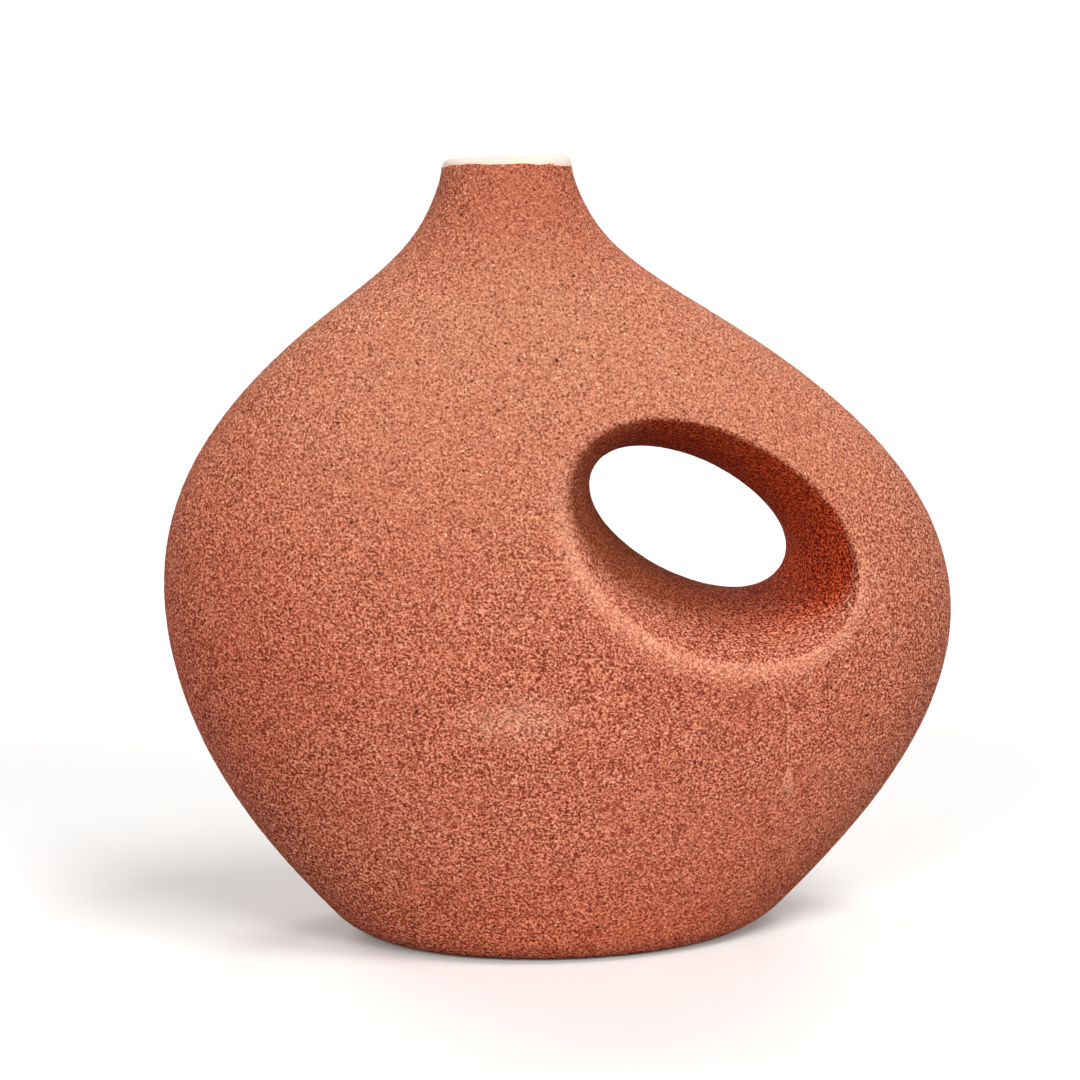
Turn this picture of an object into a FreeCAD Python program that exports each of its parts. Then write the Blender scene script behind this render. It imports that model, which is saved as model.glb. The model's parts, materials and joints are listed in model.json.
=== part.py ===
"""Ceramic pitcher vase with an oval finger hole through its shoulder.

Millimetres, +Z up. The origin is on the floor, midway between the two sides of the belly.
X runs from the pouring side (-X) to the handle side (+X), and the hole runs along Y.

The vase is made as a potter makes it. Two pressed half shells stand on a base slab and meet
on the plane Y = 0. A sleeve that flares towards both faces lines the finger hole, a collar
closes the shells at the neck, and two clay coils fill the groove along the seam. A gritty
coat covers the outside, and a glaze lines the inside and rolls over the lip.
"""

import FreeCAD
import Part

import math
import os
from collections import namedtuple

# Rings of the outside, from the floor to the lip: the rise from the ring below, the width in X,
# the depth in Y, and the shift of the middle in X
FOOT_WIDTH = 129.0
FOOT_DEPTH = 93.0
FOOT_SHIFT = -3.0
FLANK_RISE = 40.0
FLANK_WIDTH = 202.6
FLANK_DEPTH = 103.6
FLANK_SHIFT = -0.2
BELLY_RISE = 55.0
BELLY_WIDTH = 249.0
BELLY_DEPTH = 108.0
SHOULDER_RISE = 55.0
SHOULDER_WIDTH = 217.1
SHOULDER_DEPTH = 92.8
SHOULDER_SHIFT = -6.8
SLOPE_RISE = 40.0
SLOPE_WIDTH = 131.5
SLOPE_DEPTH = 67.0
SLOPE_SHIFT = -14.2
NECK_ROOT_RISE = 25.0
NECK_ROOT_WIDTH = 64.4
NECK_ROOT_DEPTH = 51.0
NECK_ROOT_SHIFT = -18.2
NECK_RISE = 13.0
NECK_WIDTH = 46.7
NECK_DEPTH = 44.2
NECK_SHIFT = -19.0
LIP_RISE = 13.2
LIP_DIAMETER = 38.3
LIP_SHIFT = -19.4
LIP_TILT_DEG = 2.0

# Thicknesses, measured square to the wall
COAT = 0.8
WALL = 4.2
LINER = 0.5

# Base slab
BASE_THICKNESS = 8.0
FOOT_ROUND = 7.3
FOOT_RIM = 19.0
FOOT_RECESS = 2.0
FOOT_RING_ROUND = 1.2
COAT_FLOOR_GAP = 1.5

# Neck and lip
COLLAR_HEIGHT = 33.0
LIP_BAND = 2.2
LIP_ROUND = 1.7

# Finger hole, an oval that opens towards both faces along a parabola, faster on its upper side
HOLE_X = 39.2
HOLE_ABOVE_BELLY = 33.9
HOLE_LENGTH = 75.2
HOLE_WIDTH = 36.4
HOLE_TILT_DEG = 27.6
HOLE_FLARE_RADIUS = 76.0
HOLE_TOP_FLARE_RADIUS = 64.0
HOLE_EDGE_ROUND = 6.0

# Groove along the seam of the two shells
SEAM_GROOVE_WIDTH = 4.0
SEAM_GROOVE_DEPTH = 2.2

# Poles round an oval, and sections that the body, its foot and the hole are drawn through
OVAL_POLES = 24
BODY_SECTIONS = 26
FOOT_SECTIONS = 4
HOLE_SECTIONS = 12
# Room that a cutting solid reaches past what it cuts
OVERRUN = 12.0
# Where the closing line of a ring lies, away from the hole and from the seam plane
RING_START_DEG = 150.0

Ring = namedtuple("Ring", "height left right depth")


def ring(height, width, depth, shift):
    """One outside ring; its depth is measured from the seam plane."""
    return Ring(height, shift - width / 2, shift + width / 2, depth / 2)


BELLY_HEIGHT = FLANK_RISE + BELLY_RISE
SHOULDER_HEIGHT = BELLY_HEIGHT + SHOULDER_RISE
SLOPE_HEIGHT = SHOULDER_HEIGHT + SLOPE_RISE
NECK_ROOT_HEIGHT = SLOPE_HEIGHT + NECK_ROOT_RISE
NECK_HEIGHT = NECK_ROOT_HEIGHT + NECK_RISE
LIP_HEIGHT = NECK_HEIGHT + LIP_RISE
HOLE_HEIGHT = BELLY_HEIGHT + HOLE_ABOVE_BELLY

RINGS = [
    ring(0.0, FOOT_WIDTH, FOOT_DEPTH, FOOT_SHIFT),
    ring(FLANK_RISE, FLANK_WIDTH, FLANK_DEPTH, FLANK_SHIFT),
    ring(BELLY_HEIGHT, BELLY_WIDTH, BELLY_DEPTH, 0.0),
    ring(SHOULDER_HEIGHT, SHOULDER_WIDTH, SHOULDER_DEPTH, SHOULDER_SHIFT),
    ring(SLOPE_HEIGHT, SLOPE_WIDTH, SLOPE_DEPTH, SLOPE_SHIFT),
    ring(NECK_ROOT_HEIGHT, NECK_ROOT_WIDTH, NECK_ROOT_DEPTH, NECK_ROOT_SHIFT),
    ring(NECK_HEIGHT, NECK_WIDTH, NECK_DEPTH, NECK_SHIFT),
    ring(LIP_HEIGHT, LIP_DIAMETER, LIP_DIAMETER, LIP_SHIFT),
]


def outline(field):
    """The smooth line of one measure through all the rings, with the height as its parameter."""
    points = [FreeCAD.Vector(getattr(at, field), 0.0, at.height) for at in RINGS]
    line = Part.BSplineCurve()
    line.interpolate(Points=points, Parameters=[at.height for at in RINGS])
    return line


OUTLINES = {"left": outline("left"), "right": outline("right"), "depth": outline("depth")}


def measure(field, height, inset):
    """One measure of the outside at a height, moved in by inset square to the wall.

    Past the lip the line goes straight on, so that cuts there are clean.
    """
    at, change = OUTLINES[field].getD1(min(height, LIP_HEIGHT))
    straight = at.x + change.x * max(height - LIP_HEIGHT, 0.0)
    inward = 1.0 if field == "left" else -1.0
    return straight + inward * inset * math.hypot(1.0, change.x)


def smooth_poles(rows, spacing):
    """Poles, knots and multiplicities of the smooth line through rows of three numbers."""
    line = Part.BSplineCurve()
    line.interpolate(Points=[FreeCAD.Vector(*row) for row in rows], Parameters=spacing)
    return line.getPoles(), line.getKnots(), line.getMultiplicities()


def oval_tube(rows, place, start_deg):
    """A closed solid that is oval all along.

    Args:
        rows: One section each: where it lies on the axis, its sideways shift, its two half axes
            and its crosswise shift.
        place: Takes a point to the vase, from its sideways, crosswise and axial measures.
        start_deg: Where round the oval the surface closes.
    """
    spacing = [0.0]
    for before, after in zip(rows, rows[1:]):
        spacing.append(spacing[-1] + math.hypot(after[0] - before[0], after[2] - before[2]))
    paths, knots, mults = smooth_poles([row[:3] for row in rows], spacing)
    crosses = smooth_poles([(row[0], row[3], row[4]) for row in rows], spacing)[0]
    turn = 2 * math.pi / OVAL_POLES
    reach = 3 / (2 + math.cos(turn))
    poles = []
    for step in range(OVAL_POLES):
        angle = math.radians(start_deg) + turn * step
        across = reach * math.cos(angle)
        aside = reach * math.sin(angle)
        line = []
        for at, cross in zip(paths, crosses):
            line.append(place(at.y + at.z * across, cross.z + cross.y * aside, at.x))
        poles.append(line)
    surface = Part.BSplineSurface()
    turns = [float(step) for step in range(OVAL_POLES + 1)]
    surface.buildFromPolesMultsKnots(
        poles, [1] * (OVAL_POLES + 1), mults, turns, knots, True, False, 3, 3
    )
    side = surface.toShape()
    rims = [edge for edge in side.Edges if len(edge.Vertexes) == 1]
    ends = [Part.Face(Part.Wire([rim])).reversed() for rim in rims]
    return Part.Solid(Part.Shell([side] + ends))


def body_solid(inset):
    """The vase's outside without its hole, moved into the wall by inset."""
    foot_round = max(FOOT_ROUND - inset, COAT)
    heights = []
    for step in range(FOOT_SECTIONS):
        angle = math.pi / 2 * step / FOOT_SECTIONS
        heights.append((foot_round * (1 - math.cos(angle)), foot_round * (1 - math.sin(angle))))
    rise = LIP_HEIGHT + OVERRUN - foot_round
    for step in range(BODY_SECTIONS + 1):
        heights.append((foot_round + rise * step / BODY_SECTIONS, 0.0))
    rows = []
    for height, drawn_in in heights:
        left = measure("left", height, inset) + drawn_in
        right = measure("right", height, inset) - drawn_in
        depth = measure("depth", height, inset) - drawn_in
        rows.append((height, (left + right) / 2, (right - left) / 2, depth, 0.0))
    return oval_tube(rows, FreeCAD.Vector, RING_START_DEG)


def flare(y, radius, inset):
    """How much wider than at the seam a side of the hole is at a depth y, moved in by inset."""
    return y * y / (2 * radius) + inset * math.hypot(1.0, y / radius)


def hole_solid(inset):
    """The space of the finger hole, widened by inset, running past both faces."""
    tilt = math.radians(HOLE_TILT_DEG)
    reach = BELLY_DEPTH / 2 + OVERRUN
    rows = []
    for step in range(HOLE_SECTIONS + 1):
        y = reach * (2 * step / HOLE_SECTIONS - 1)
        widen = flare(y, HOLE_FLARE_RADIUS, inset)
        rise = (flare(y, HOLE_TOP_FLARE_RADIUS, inset) - widen) / 2
        rows.append((y, 0.0, HOLE_LENGTH / 2 + widen, HOLE_WIDTH / 2 + widen + rise, rise))

    def place(u, v, y):
        """A point of the hole's own oval, turned by the hole's tilt, from the back to the front."""
        x = HOLE_X + u * math.cos(tilt) + v * math.sin(tilt)
        return FreeCAD.Vector(x, -y, HOLE_HEIGHT + v * math.cos(tilt) - u * math.sin(tilt))

    return oval_tube(rows, place, 0.0)


def slab(low, high):
    """All space between two heights."""
    size = 2 * max(BELLY_WIDTH, BELLY_DEPTH)
    return Part.makeBox(size, size, high - low, FreeCAD.Vector(-size / 2, -size / 2, low))


def half_space(side):
    """All space on one side of the seam plane: -1 is the front, 1 the back."""
    size = 2 * max(BELLY_WIDTH, LIP_HEIGHT)
    corner = FreeCAD.Vector(-size / 2, -size if side < 0 else 0.0, -OVERRUN)
    return Part.makeBox(size, size, size, corner)


def above_lip(drop):
    """All space above a plane parallel to the lip's own slightly tilted plane, drop below it."""
    size = 2 * BELLY_WIDTH
    box = Part.makeBox(size, size, size, FreeCAD.Vector(-size / 2, -size / 2, -drop))
    turn = FreeCAD.Rotation(FreeCAD.Vector(0, 1, 0), -LIP_TILT_DEG)
    box.Placement = FreeCAD.Placement(FreeCAD.Vector(LIP_SHIFT, 0, LIP_HEIGHT), turn)
    return box


def seam_groove():
    """The space of the groove along the seam, open to the outside."""
    size = 2 * max(BELLY_WIDTH, LIP_HEIGHT)
    corner = FreeCAD.Vector(-size / 2, -SEAM_GROOVE_WIDTH / 2, -OVERRUN)
    strip = Part.makeBox(size, SEAM_GROOVE_WIDTH, size, corner)
    return strip.cut(body_solid(COAT + SEAM_GROOVE_DEPTH))


def foot_recess():
    """The shallow hollow under the base slab, inside the ring that the vase stands on."""
    foot = RINGS[0]
    along = (foot.right - foot.left) / 2 - FOOT_RIM
    row = ((foot.left + foot.right) / 2, along, foot.depth - FOOT_RIM, 0.0)
    heights = [-OVERRUN + step * (OVERRUN + FOOT_RECESS) / 3 for step in range(4)]
    return oval_tube([(height, *row) for height in heights], FreeCAD.Vector, RING_START_DEG)


def round_edges(shape, radius, keep):
    """The shape with a round of this radius on the edges that pass the test keep."""
    return shape.makeFillet(radius, [edge for edge in shape.Edges if keep(edge.BoundBox)])


def around_hole(box):
    """Whether an edge's box goes round the hole's mouth on one face of the vase."""
    near = abs(box.Center.x - HOLE_X) < HOLE_WIDTH / 2
    return near and box.ZLength > HOLE_WIDTH and box.YMin * box.YMax > 0


def at_floor(box):
    """Whether an edge's box lies on the floor."""
    return box.ZMax < 0.01


def at_recess(box):
    """Whether an edge's box is the floor edge of the recess under the base slab."""
    return at_floor(box) and box.XLength < FOOT_WIDTH - 2 * FOOT_RIM + 1.0


def at_rim(drop):
    """A test for the edges in the plane that lies drop below the lip's own."""
    low = LIP_HEIGHT - drop - LIP_DIAMETER * math.tan(math.radians(LIP_TILT_DEG))
    return lambda box: box.ZMin > low


def vase_form(inset):
    """The outside moved in by inset, with its hole cut and the hole's edges rounded."""
    form = body_solid(inset).cut(hole_solid(inset))
    return round_edges(form, HOLE_EDGE_ROUND - inset, around_hole)


def neck_ring(outer, inner, drop):
    """The wall of the neck between two insets, up to drop below the lip, its rim rounded."""
    neck = body_solid(outer).common(slab(LIP_HEIGHT - COLLAR_HEIGHT, LIP_HEIGHT + 2 * OVERRUN))
    tube = neck.cut(above_lip(drop)).cut(body_solid(inner))
    return round_edges(tube, LIP_ROUND - drop, at_rim(drop))


def build():
    """All pieces of the vase, by name."""
    clay_in = COAT + WALL
    glaze_in = clay_in + LINER
    joint = LIP_HEIGHT - COLLAR_HEIGHT
    clay = vase_form(COAT)
    inside = body_solid(clay_in)
    sleeve_space = hole_solid(clay_in)
    groove = seam_groove()
    wall_zone = slab(BASE_THICKNESS, joint)

    base_slab = clay.common(slab(-OVERRUN, BASE_THICKNESS)).cut(foot_recess())
    base_slab = round_edges(base_slab, FOOT_RING_ROUND, at_recess)
    hole_sleeve = clay.common(sleeve_space)
    shell = clay.common(wall_zone).cut(inside)
    seam_coils = shell.common(groove)
    shell = shell.cut(sleeve_space).cut(groove)
    neck_collar = neck_ring(COAT, clay_in, LINER)

    coat_zone = slab(COAT_FLOOR_GAP, LIP_HEIGHT + 2 * OVERRUN).cut(above_lip(LIP_BAND))
    outer_coat = vase_form(0.0).common(coat_zone).cut(clay)

    dry_zone = slab(BASE_THICKNESS, LIP_HEIGHT + 2 * OVERRUN).cut(above_lip(LIP_BAND))
    dry = inside.common(dry_zone).cut(sleeve_space)
    wet = body_solid(glaze_in).common(slab(BASE_THICKNESS + LINER, LIP_HEIGHT + 2 * OVERRUN))
    wet = wet.cut(hole_solid(glaze_in))
    roll = neck_ring(0.0, glaze_in, 0.0).common(above_lip(LIP_BAND)).cut(neck_collar)
    liner_glaze = dry.cut(wet).fuse(roll)

    return {
        "front_shell": shell.common(half_space(-1)),
        "back_shell": shell.common(half_space(1)),
        "base_slab": base_slab,
        "neck_collar": neck_collar,
        "hole_sleeve": hole_sleeve,
        "seam_coils": seam_coils,
        "outer_coat": outer_coat,
        "liner_glaze": liner_glaze,
    }


def main():
    """Build every piece and write it out."""
    os.makedirs("parts", exist_ok=True)
    for name, shape in build().items():
        shape.exportStep(f"parts/{name}.step")
        volume = shape.Volume / 1000
        print(f"{name:12s} solids {len(shape.Solids)} valid {shape.isValid()} {volume:.1f} ml")


if __name__ == "__main__":
    main()
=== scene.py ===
"""Looks of a ceramic pitcher vase with an oval finger hole through its shoulder.

The vase stands on the floor at the origin, +Z up, and its hole runs along Y. Sizes are millimetres and
become metres where a mesh, a lamp or a node takes them. The gritty coat is drawn from the vase's own
form: a body of oval rings, less a hole that opens towards both faces, with the edge between the two
rounded softly on one side of the hole and crisply on the other.
"""

import itertools
import json
import logging
import math
from collections.abc import Callable
from dataclasses import dataclass
from enum import Enum
from functools import cached_property

import bpy
import numpy as np
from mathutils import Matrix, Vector

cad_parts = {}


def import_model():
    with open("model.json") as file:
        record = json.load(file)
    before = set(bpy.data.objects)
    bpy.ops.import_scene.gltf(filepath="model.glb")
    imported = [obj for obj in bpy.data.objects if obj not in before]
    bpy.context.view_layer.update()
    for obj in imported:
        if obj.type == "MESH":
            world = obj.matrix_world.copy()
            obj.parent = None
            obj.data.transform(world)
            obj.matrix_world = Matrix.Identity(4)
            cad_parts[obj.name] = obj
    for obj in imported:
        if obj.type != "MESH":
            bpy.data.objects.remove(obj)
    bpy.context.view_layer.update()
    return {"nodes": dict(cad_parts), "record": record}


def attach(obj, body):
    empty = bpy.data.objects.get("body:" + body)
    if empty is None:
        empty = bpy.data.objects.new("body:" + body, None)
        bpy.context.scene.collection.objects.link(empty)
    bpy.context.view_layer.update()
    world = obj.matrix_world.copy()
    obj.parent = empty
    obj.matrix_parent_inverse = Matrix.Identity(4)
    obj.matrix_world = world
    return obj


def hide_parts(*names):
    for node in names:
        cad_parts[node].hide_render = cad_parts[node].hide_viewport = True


MM = 0.001
BODY = "root"
IMAGE_PIXELS = 1080
SENSOR_MM = 36.0
# Smallest height above the floor at which the round of the foot still has a slope
FOOT_START = 0.05
# Step of the differences that give a surface's direction
PROBE = 0.05
# Keeps a division from meeting zero
TINY = 1e-9
# The corners of a cube of side 1
CORNERS = tuple(itertools.product((0, 1), repeat=3))
# What turns a cell's place and a seed into the cell's lot
PLACE_FACTORS = np.array([73856093, 19349663, 83492791])
SEED_FACTOR = 7919
LOT_MIXERS = ((13, 60493), (11, 19990303))
LOT_MASK = 0xFFFFFF
LOT_MIDDLE = 0x7FFFFF
# Names of the marks on the coat's points: how much painted shade they get deep in the hole on its lower
# side and behind the hole's edge on its upper side, and how much painted highlight on the hole's lit crest
DEEP_SHADE_MARK = "hole_deep_shade"
SHADE_MARK = "hole_shade"
CREST_LIGHT_MARK = "hole_crest_light"

LOG = logging.getLogger("vase")


class Slot(Enum):
    """The record's finishes."""

    CLAY = "clay"
    BARE_CLAY = "bare_clay"
    COAT = "gritty_coat"
    GLAZE = "cream_glaze"


class Border(Enum):
    """The two lines where the coat stops."""

    LIP = "lip"
    FOOT = "foot"


class Seed(Enum):
    """The noises of the vase's pieces, which differ by their seeds."""

    SWAY = 1
    DIMPLE = 2
    GRIT = 3
    LIP = 4
    RAGGED = 5


def linear(red: int, green: int, blue: int) -> tuple[float, float, float, float]:
    """A colour in linear light, by the sRGB curve.

    Args:
        red: Red as a screen shows it, 0 to 255.
        green: Green, likewise.
        blue: Blue, likewise.

    Returns:
        The colour with full cover, as a shader takes it.
    """
    parts = (value / 255 for value in (red, green, blue))
    return (*(p / 12.92 if p <= 0.04045 else ((p + 0.055) / 1.055) ** 2.4 for p in parts), 1.0)


def smooth_step(share: np.ndarray | float) -> np.ndarray | float:
    """A share from 0 to 1 that leaves and arrives gently."""
    return share * share * (3 - 2 * share)


def lattice_noise(points: np.ndarray, size: float, seed: Seed) -> np.ndarray:
    """Smooth noise that depends on a point's place alone.

    Args:
        points: One point a row.
        size: Distance over which the noise changes.
        seed: Tells one noise from another.

    Returns:
        A value from -1 to 1 for each point.
    """
    cell = np.floor(points / size).astype(np.int64)
    share = smooth_step(points / size - cell)
    total = np.zeros(len(points))
    for corner in CORNERS:
        lots = (cell + corner) @ PLACE_FACTORS + seed.value * SEED_FACTOR
        for shift, factor in LOT_MIXERS:
            lots = ((lots ^ (lots >> shift)) * factor) & LOT_MASK
        weight = np.prod(np.where(corner, share, 1 - share), axis=1)
        total += weight * (lots / LOT_MIDDLE - 1)
    return total


class SmoothLine:
    """A smooth line through a few heights, whose ends go the way of their nearest points."""

    END_POINTS = 4

    def __init__(self, heights: np.ndarray, values: np.ndarray) -> None:
        """Find the line's slope at each height.

        Args:
            heights: Rising heights.
            values: The value at each height.
        """
        self.heights = heights
        self.values = values
        count = len(heights)
        gaps = np.diff(heights)
        rates = np.diff(values) / gaps
        rows = np.eye(count)
        sums = np.zeros(count)
        for end, near in ((0, slice(self.END_POINTS)), (-1, slice(-self.END_POINTS, None))):
            curve = np.polyfit(heights[near] - heights[end], values[near], self.END_POINTS - 1)
            sums[end] = curve[-2]
        for at in range(1, count - 1):
            below, above = gaps[at - 1], gaps[at]
            rows[at, at - 1 : at + 2] = above, 2 * (below + above), below
            sums[at] = 3 * (above * rates[at - 1] + below * rates[at])
        self.slopes = np.linalg.solve(rows, sums)

    def at(self, height: np.ndarray) -> tuple[np.ndarray, np.ndarray]:
        """The line's value and slope.

        Args:
            height: Heights to read. Past the line's top it goes straight on.

        Returns:
            The values and the slopes at those heights.
        """
        tall = np.clip(height, self.heights[0], self.heights[-1])
        low = np.clip(np.searchsorted(self.heights, tall) - 1, 0, len(self.heights) - 2)
        gap = self.heights[low + 1] - self.heights[low]
        t = (tall - self.heights[low]) / gap
        start, end = self.values[low], self.values[low + 1]
        leave, arrive = self.slopes[low] * gap, self.slopes[low + 1] * gap
        bend = 3 * (end - start) - 2 * leave - arrive
        twist = 2 * (start - end) + leave + arrive
        value = start + t * (leave + t * (bend + t * twist))
        slope = (leave + t * (2 * bend + 3 * t * twist)) / gap
        return value + slope * (height - tall), slope


@dataclass(frozen=True)
class Ring:
    """One ring of the outside: its height, width in X and depth in Y, and its middle's shift in X."""

    height: float
    width: float
    depth: float
    shift: float


@dataclass(frozen=True)
class VaseForm:
    """The outside of the vase as a gap in millimetres: below zero in the clay, above zero outside."""

    rings: tuple[Ring, ...] = (
        Ring(0.0, 129.0, 93.0, -3.0),
        Ring(40.0, 202.6, 103.6, -0.2),
        Ring(95.0, 249.0, 108.0, 0.0),
        Ring(150.0, 217.1, 92.8, -6.8),
        Ring(190.0, 131.5, 67.0, -14.2),
        Ring(215.0, 64.4, 51.0, -18.2),
        Ring(228.0, 46.7, 44.2, -19.0),
        Ring(241.2, 38.3, 38.3, -19.4),
    )
    foot_round: float = 7.3
    lip_tilt_deg: float = 2.0
    hole_x: float = 39.2
    hole_height: float = 128.9
    hole_length: float = 75.2
    hole_width: float = 36.4
    hole_tilt_deg: float = 27.6
    hole_flare_radius: float = 76.0
    hole_top_flare_radius: float = 64.0
    # The round of the hole's edge, from its softest side to the far side
    soft_edge: float = 4.8
    crisp_edge: float = 0.5
    softest_deg: float = -125.0
    edge_power: float = 3.0

    @property
    def lip(self) -> Ring:
        """The top ring."""
        return self.rings[-1]

    @property
    def widest(self) -> Ring:
        """The ring of the belly."""
        return max(self.rings, key=lambda ring: ring.width)

    def line(self, name: str) -> SmoothLine:
        """The smooth line of one measure through all the rings."""
        heights = np.array([ring.height for ring in self.rings])
        return SmoothLine(heights, np.array([getattr(ring, name) for ring in self.rings]))

    @cached_property
    def lines(self) -> dict[str, SmoothLine]:
        """The lines of the body's width, depth and shift."""
        return {name: self.line(name) for name in ("width", "depth", "shift")}

    def section(self, z: np.ndarray) -> tuple[tuple[np.ndarray, np.ndarray], ...]:
        """The oval of the body at some heights.

        Args:
            z: The heights.

        Returns:
            The middle in X, the half width and the half depth, each with its slope.
        """
        rise = 1 - np.clip(z, FOOT_START, self.foot_round) / self.foot_round
        reach = np.sqrt(1 - rise * rise)
        drawn, steep = self.foot_round * (1 - reach), rise / reach
        width, width_slope = self.lines["width"].at(z)
        depth, depth_slope = self.lines["depth"].at(z)
        return (
            self.lines["shift"].at(z),
            (width / 2 - drawn, width_slope / 2 + steep),
            (depth / 2 - drawn, depth_slope / 2 + steep),
        )

    def body_gap(self, x: np.ndarray, y: np.ndarray, z: np.ndarray) -> np.ndarray:
        """How far points lie outside the body, taken without its hole.

        Args:
            x: Places in X.
            y: Places in Y.
            z: Heights.

        Returns:
            The gap, true near the surface.
        """
        (middle, lean), (wide, wide_slope), (deep, deep_slope) = self.section(z)
        across, along = (x - middle) / wide, y / deep
        size = np.sqrt(across**2 + along**2) + TINY
        drift = across * (lean + wide_slope * across) / wide + along**2 * deep_slope / deep
        steep = np.sqrt((across / wide) ** 2 + (along / deep) ** 2 + drift**2) / size
        return (size - 1) / steep

    def hole_frame(self, x: np.ndarray, z: np.ndarray) -> tuple[np.ndarray, np.ndarray]:
        """Places along the hole's long and short axes.

        Args:
            x: Places in X.
            z: Heights.

        Returns:
            The measure along the long axis, which falls to +X, and across it.
        """
        tilt = math.radians(self.hole_tilt_deg)
        right, up = x - self.hole_x, z - self.hole_height
        return right * math.cos(tilt) - up * math.sin(tilt), right * math.sin(tilt) + up * math.cos(tilt)

    def hole_gap(self, x: np.ndarray, y: np.ndarray, z: np.ndarray) -> np.ndarray:
        """How far points lie inside the finger hole.

        Args:
            x: Places in X.
            y: Places in Y.
            z: Heights.

        Returns:
            The gap, above zero in the open hole.
        """
        u, v = self.hole_frame(x, z)
        bend, top_bend = 1 / self.hole_flare_radius, 1 / self.hole_top_flare_radius
        widen, steepen = y * y * bend / 2, y * bend
        rise, climb = y * y * (top_bend - bend) / 4, y * (top_bend - bend) / 2
        half_length, half_width = self.hole_length / 2 + widen, self.hole_width / 2 + widen + rise
        along, across = u / half_length, (v - rise) / half_width
        size = np.sqrt(along**2 + across**2) + TINY
        drift = along**2 * steepen / half_length
        drift = drift + across * (climb + across * (steepen + climb)) / half_width
        steep = np.sqrt((along / half_length) ** 2 + (across / half_width) ** 2 + drift**2) / size
        return (1 - size) / steep

    def facing(self, x: np.ndarray, z: np.ndarray, way_deg: float) -> np.ndarray:
        """How nearly a point lies in one direction from the hole's middle.

        Args:
            x: Places in X.
            z: Heights.
            way_deg: The direction, in degrees from the long axis.

        Returns:
            1 in that direction, falling to 0 on the far side.
        """
        u, v = self.hole_frame(x, z)
        turn = np.arctan2(v / self.hole_width, u / self.hole_length) - math.radians(way_deg)
        return (1 + np.cos(turn)) / 2

    def edge_round(self, x: np.ndarray, z: np.ndarray) -> np.ndarray:
        """How much the edge of the hole is rounded, by the direction from the hole's middle.

        Args:
            x: Places in X.
            z: Heights.

        Returns:
            The size of the round.
        """
        softness = self.facing(x, z, self.softest_deg) ** self.edge_power
        return self.crisp_edge + (self.soft_edge - self.crisp_edge) * softness

    def gap(self, x: np.ndarray, y: np.ndarray, z: np.ndarray) -> np.ndarray:
        """How far points lie outside the vase, its hole and the hole's rounded edges included.

        Args:
            x: Places in X.
            y: Places in Y.
            z: Heights.

        Returns:
            The gap, below zero in the vase.
        """
        body, hole, soft = self.body_gap(x, y, z), self.hole_gap(x, y, z), self.edge_round(x, z)
        corner = np.hypot(np.maximum(body + soft, 0), np.maximum(hole + soft, 0))
        return np.minimum(np.maximum(body, hole), -soft) + corner

    def lip_plane(self, x: np.ndarray) -> np.ndarray:
        """Height of the slightly tilted lip above places in X."""
        return self.lip.height + (x - self.lip.shift) * math.tan(math.radians(self.lip_tilt_deg))


@dataclass
class Net:
    """A mesh of quads on a surface."""

    points: np.ndarray
    quads: np.ndarray

    @classmethod
    def on_grid(cls, values: np.ndarray, low: np.ndarray, step: float) -> "Net":
        """The net where a field on a grid changes its sign.

        Args:
            values: The field at the grid's points, below zero inside.
            low: The grid's lowest corner.
            step: The grid's step.

        Returns:
            The net, with a point in each cell that the surface passes.
        """
        inside = values < 0
        sizes = inside.shape
        count = np.zeros([size - 1 for size in sizes], np.int8)
        for corner in CORNERS:
            count += inside[tuple(slice(c, size - 1 + c) for c, size in zip(corner, sizes))]
        mixed = (count > 0) & (count < len(CORNERS))
        index = np.full(count.shape, -1)
        index[mixed] = np.arange(mixed.sum())
        quads = []
        for axis in range(3):
            first, second = (axis + 1) % 3, (axis + 2) % 3
            near = [slice(1, -1)] * 3
            far = [slice(1, -1)] * 3
            near[axis], far[axis] = slice(0, -1), slice(1, None)
            start, end = inside[tuple(near)], inside[tuple(far)]
            for leaving, order in ((start & ~end, 1), (end & ~start, -1)):
                cells = np.argwhere(leaving)
                cells[:, first] += 1
                cells[:, second] += 1
                ring = []
                for back_first, back_second in ((1, 1), (0, 1), (0, 0), (1, 0))[::order]:
                    cell = cells.copy()
                    cell[:, first] -= back_first
                    cell[:, second] -= back_second
                    ring.append(index[tuple(cell.T)])
                quads.append(np.stack(ring, axis=1))
        return cls(low + (np.argwhere(mixed) + 0.5) * step, np.concatenate(quads))

    def keep(self, wanted: np.ndarray) -> "Net":
        """The part of the net whose quads have only wanted points.

        Args:
            wanted: Whether each point is wanted.

        Returns:
            The net without the other quads and without loose points.
        """
        quads = self.quads[wanted[self.quads].all(axis=1)]
        used, numbers = np.unique(quads, return_inverse=True)
        return Net(self.points[used], numbers.reshape(quads.shape))

    def sides(self) -> np.ndarray:
        """The net's sides, one from each quad that has it."""
        return np.concatenate([self.quads[:, [at, (at + 1) % 4]] for at in range(4)])

    def rim(self) -> np.ndarray:
        """Whether each point lies on an open side of the net.

        Returns:
            One truth value a point.
        """
        sides = np.sort(self.sides(), axis=1)
        found, count = np.unique(sides, axis=0, return_counts=True)
        on_rim = np.zeros(len(self.points), bool)
        on_rim[found[count == 1]] = True
        return on_rim

    def relaxed(self) -> np.ndarray:
        """The points, each moved to the middle of its neighbours.

        Returns:
            The moved points.
        """
        sides = self.sides()
        ends = np.concatenate([sides, sides[:, ::-1]])
        total = len(self.points)
        share = np.bincount(ends[:, 0], minlength=total)
        sums = [np.bincount(ends[:, 0], self.points[ends[:, 1], axis], total) for axis in range(3)]
        return np.stack(sums, axis=1) / share[:, None]


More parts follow.
